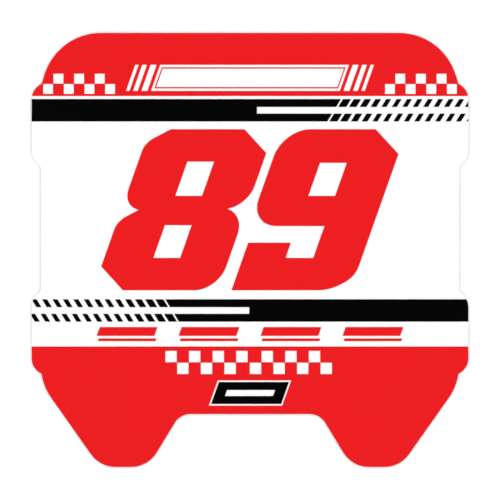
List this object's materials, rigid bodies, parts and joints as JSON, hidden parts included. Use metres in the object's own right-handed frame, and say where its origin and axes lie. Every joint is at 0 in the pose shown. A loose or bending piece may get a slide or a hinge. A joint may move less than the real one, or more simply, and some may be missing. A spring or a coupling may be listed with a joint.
{
  "type": "racing number board",
  "caption": "Flat plastic racing number board for a motorbike, with leaning numerals, bands, slashes, checks and a blank name panel in cut vinyl, recessed sides and a notch between its feet.",
  "frame": {"origin": "on the back face, in the middle of the board's width and height", "axes": "+X to the reader's right, +Y up the print towards the top edge, +Z out of the printed face; the board lies on its back"},
  "size_m": [0.25, 0.2486, 0.0035],
  "materials": {
    "board": "smooth white sheet with a fine satin skin",
    "red_vinyl": "red cut vinyl under a clear gloss laminate",
    "black_vinyl": "black cut vinyl under a clear gloss laminate"
  },
  "bodies": {
    "root": {"board": "board", "top_field": "red_vinyl", "foot_field": "red_vinyl", "numeral_8": "red_vinyl", "numeral_9": "red_vinyl", "upper_band": "black_vinyl", "upper_slashes": "black_vinyl", "lower_band": "black_vinyl", "lower_slashes": "black_vinyl", "name_keyline": "red_vinyl", "strip_tabs": "red_vinyl", "badge": "black_vinyl"}
  },
  "joints": []
}
